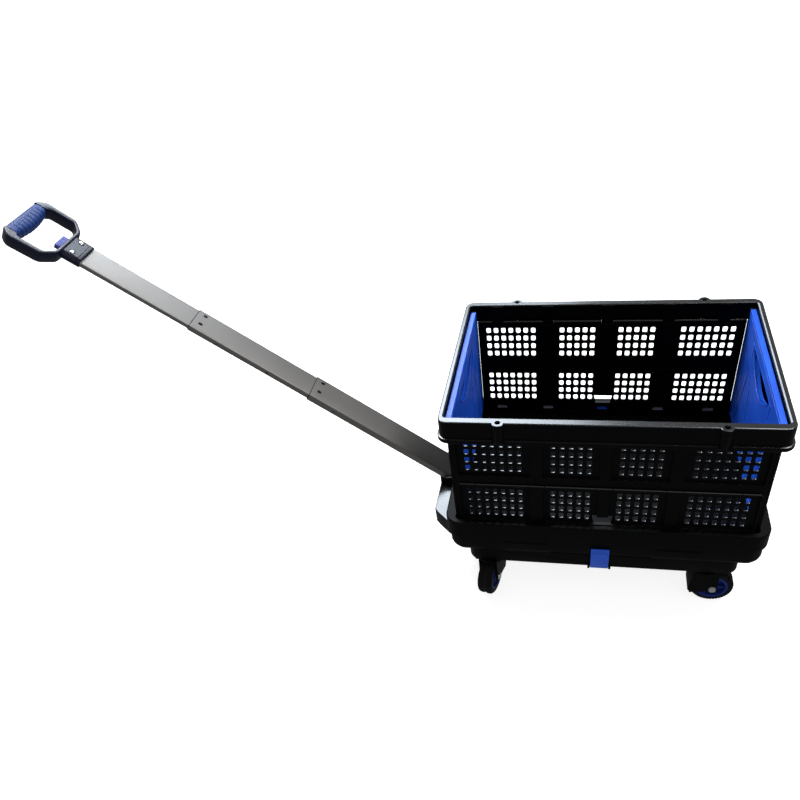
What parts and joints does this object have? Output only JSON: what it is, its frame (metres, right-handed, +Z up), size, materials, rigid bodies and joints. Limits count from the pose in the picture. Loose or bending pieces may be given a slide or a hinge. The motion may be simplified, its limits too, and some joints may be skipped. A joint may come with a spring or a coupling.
{
  "type": "folding crate dolly cart",
  "caption": "Folding crate on swivel casters with a telescopic pull handle, end walls that lie down and long sides that fold in half.",
  "frame": {"origin": "middle of the crate's load floor, on its upper face", "axes": "+X away from the handle along the crate's length, +Y towards the rear long side, +Z up"},
  "size_m": [1.2424, 0.3882, 0.6956],
  "materials": {
    "black_plastic": "satin, moulded",
    "blue_plastic": "satin, moulded",
    "navy_plastic": "satin, moulded",
    "aluminium": "satin anodised, extruded",
    "steel": "zinc plated",
    "tyre": "moulded, matt"
  },
  "bodies": {
    "dolly": {"tray": "black_plastic", "chassis": "black_plastic", "handle_housing": "black_plastic", "pivot_pin": "steel", "front_latch_pin": "steel", "rear_latch_pin": "steel", "front_right_caster_plate": "steel", "rear_right_caster_plate": "steel", "front_left_caster_plate": "steel", "rear_left_caster_plate": "steel"},
    "front_lower_side": {"front_lower_panel": "black_plastic", "front_foot_rod": "steel"},
    "front_upper_side": {"front_upper_panel": "black_plastic", "front_mid_rod": "steel"},
    "top_rim": {"top_frame": "black_plastic", "front_head_rod": "steel", "rear_head_rod": "steel"},
    "rear_lower_side": {"rear_lower_panel": "black_plastic", "rear_foot_rod": "steel"},
    "rear_upper_side": {"rear_upper_panel": "black_plastic", "rear_mid_rod": "steel"},
    "left_end_wall": {"left_wall_shell": "black_plastic", "left_wall_liner": "blue_plastic", "left_wall_rod": "steel"},
    "right_end_wall": {"right_wall_shell": "black_plastic", "right_wall_liner": "blue_plastic", "right_wall_rod": "steel"},
    "front_catch": {"front_latch": "blue_plastic"},
    "rear_catch": {"rear_latch": "blue_plastic"},
    "handle_outer": {"outer_tube": "aluminium", "outer_tube_foot": "navy_plastic"},
    "handle_middle": {"middle_tube": "aluminium", "middle_tube_plug": "navy_plastic", "middle_tube_lock_pin": "steel"},
    "handle_inner": {"inner_tube": "aluminium", "inner_tube_plug": "navy_plastic", "inner_tube_lock_pin": "steel", "grip_frame": "navy_plastic", "grip_sleeve": "blue_plastic", "left_rivet": "steel", "right_rivet": "steel"},
    "button": {"release_button": "blue_plastic", "pull_rod": "steel"},
    "front_right_swivel": {"front_right_caster_fork": "black_plastic", "front_right_axle": "steel"},
    "front_right_wheel": {"front_right_tyre": "tyre", "front_right_hub": "blue_plastic"},
    "rear_right_swivel": {"rear_right_caster_fork": "black_plastic", "rear_right_axle": "steel"},
    "rear_right_wheel": {"rear_right_tyre": "tyre", "rear_right_hub": "blue_plastic"},
    "front_left_swivel": {"front_left_caster_fork": "black_plastic", "front_left_axle": "steel"},
    "front_left_wheel": {"front_left_tyre": "tyre", "front_left_hub": "blue_plastic"},
    "rear_left_swivel": {"rear_left_caster_fork": "black_plastic", "rear_left_axle": "steel"},
    "rear_left_wheel": {"rear_left_tyre": "tyre", "rear_left_hub": "blue_plastic"}
  },
  "joints": [
    {"name": "crate_fold", "type": "hinge", "parent": "dolly", "child": "front_lower_side", "pos_m": [0, -0.1681, 0.014], "axis": [-1, 0, 0], "range_deg": [0, 86]},
    {"name": "front_mid_hinge", "type": "hinge", "parent": "front_lower_side", "child": "front_upper_side", "pos_m": [0, -0.172, 0.1153], "axis": [1, 0, 0], "range_deg": [0, 172]},
    {"name": "front_head_hinge", "type": "hinge", "parent": "front_upper_side", "child": "top_rim", "pos_m": [0, -0.1681, 0.2166], "axis": [-1, 0, 0], "range_deg": [0, 86]},
    {"name": "rear_foot_hinge", "type": "hinge", "parent": "dolly", "child": "rear_lower_side", "pos_m": [0, 0.1681, 0.014], "axis": [1, 0, 0], "range_deg": [0, 86]},
    {"name": "rear_mid_hinge", "type": "hinge", "parent": "rear_lower_side", "child": "rear_upper_side", "pos_m": [0, 0.172, 0.1153], "axis": [-1, 0, 0], "range_deg": [0, 172]},
    {"name": "left_wall_fold", "type": "hinge", "parent": "dolly", "child": "left_end_wall", "pos_m": [-0.2436, 0, 0.0039], "axis": [0, 1, 0], "range_deg": [0, 90]},
    {"name": "right_wall_fold", "type": "hinge", "parent": "dolly", "child": "right_end_wall", "pos_m": [0.2436, 0, 0.0039], "axis": [0, -1, 0], "range_deg": [0, 90]},
    {"name": "front_latch_hinge", "type": "hinge", "parent": "dolly", "child": "front_catch", "pos_m": [0, -0.172, -0.077], "axis": [1, 0, 0], "range_deg": [0, 35]},
    {"name": "rear_latch_hinge", "type": "hinge", "parent": "dolly", "child": "rear_catch", "pos_m": [0, 0.172, -0.077], "axis": [-1, 0, 0], "range_deg": [0, 35]},
    {"name": "handle_tilt", "type": "hinge", "parent": "dolly", "child": "handle_outer", "pos_m": [-0.2819, 0, -0.0128], "axis": [0, 1, 0], "range_deg": [0, 51.9]},
    {"name": "middle_tube_slide", "type": "slide", "parent": "handle_outer", "child": "handle_middle", "axis": [0.7876, 0, -0.6162], "range_m": [0, 0.237]},
    {"name": "inner_tube_slide", "type": "slide", "parent": "handle_middle", "child": "handle_inner", "axis": [0.7876, 0, -0.6162], "range_m": [0, 0.198]},
    {"name": "release_button_press", "type": "slide", "parent": "handle_inner", "child": "button", "axis": [0.7876, 0, -0.6162], "range_m": [0, 0.004], "stiffness_N_per_m": 600, "springref_m": -0.002},
    {"name": "front_right_swivel_turn", "type": "hinge", "parent": "dolly", "child": "front_right_swivel", "pos_m": [0.184, -0.149, -0.0795], "axis": [0, 0, 1], "continuous": true},
    {"name": "front_right_wheel_roll", "type": "hinge", "parent": "front_right_swivel", "child": "front_right_wheel", "pos_m": [0.198, -0.149, -0.1272], "axis": [0, 1, 0], "continuous": true},
    {"name": "rear_right_swivel_turn", "type": "hinge", "parent": "dolly", "child": "rear_right_swivel", "pos_m": [0.184, 0.149, -0.0795], "axis": [0, 0, 1], "continuous": true},
    {"name": "rear_right_wheel_roll", "type": "hinge", "parent": "rear_right_swivel", "child": "rear_right_wheel", "pos_m": [0.198, 0.149, -0.1272], "axis": [0, 1, 0], "continuous": true},
    {"name": "front_left_swivel_turn", "type": "hinge", "parent": "dolly", "child": "front_left_swivel", "pos_m": [-0.195, -0.149, -0.0795], "axis": [0, 0, 1], "continuous": true},
    {"name": "front_left_wheel_roll", "type": "hinge", "parent": "front_left_swivel", "child": "front_left_wheel", "pos_m": [-0.19815, -0.16264, -0.1272], "axis": [0.9744, -0.225, 0], "continuous": true},
    {"name": "rear_left_swivel_turn", "type": "hinge", "parent": "dolly", "child": "rear_left_swivel", "pos_m": [-0.195, 0.149, -0.0795], "axis": [0, 0, 1], "continuous": true},
    {"name": "rear_left_wheel_roll", "type": "hinge", "parent": "rear_left_swivel", "child": "rear_left_wheel", "pos_m": [-0.19815, 0.13536, -0.1272], "axis": [0.9744, -0.225, 0], "continuous": true}
  ],
  "couplings": [
    {"joint": "front_mid_hinge", "follows": "crate_fold", "ratio": 2},
    {"joint": "front_head_hinge", "follows": "crate_fold", "ratio": 1},
    {"joint": "rear_foot_hinge", "follows": "crate_fold", "ratio": 1},
    {"joint": "rear_mid_hinge", "follows": "crate_fold", "ratio": 2}
  ]
}
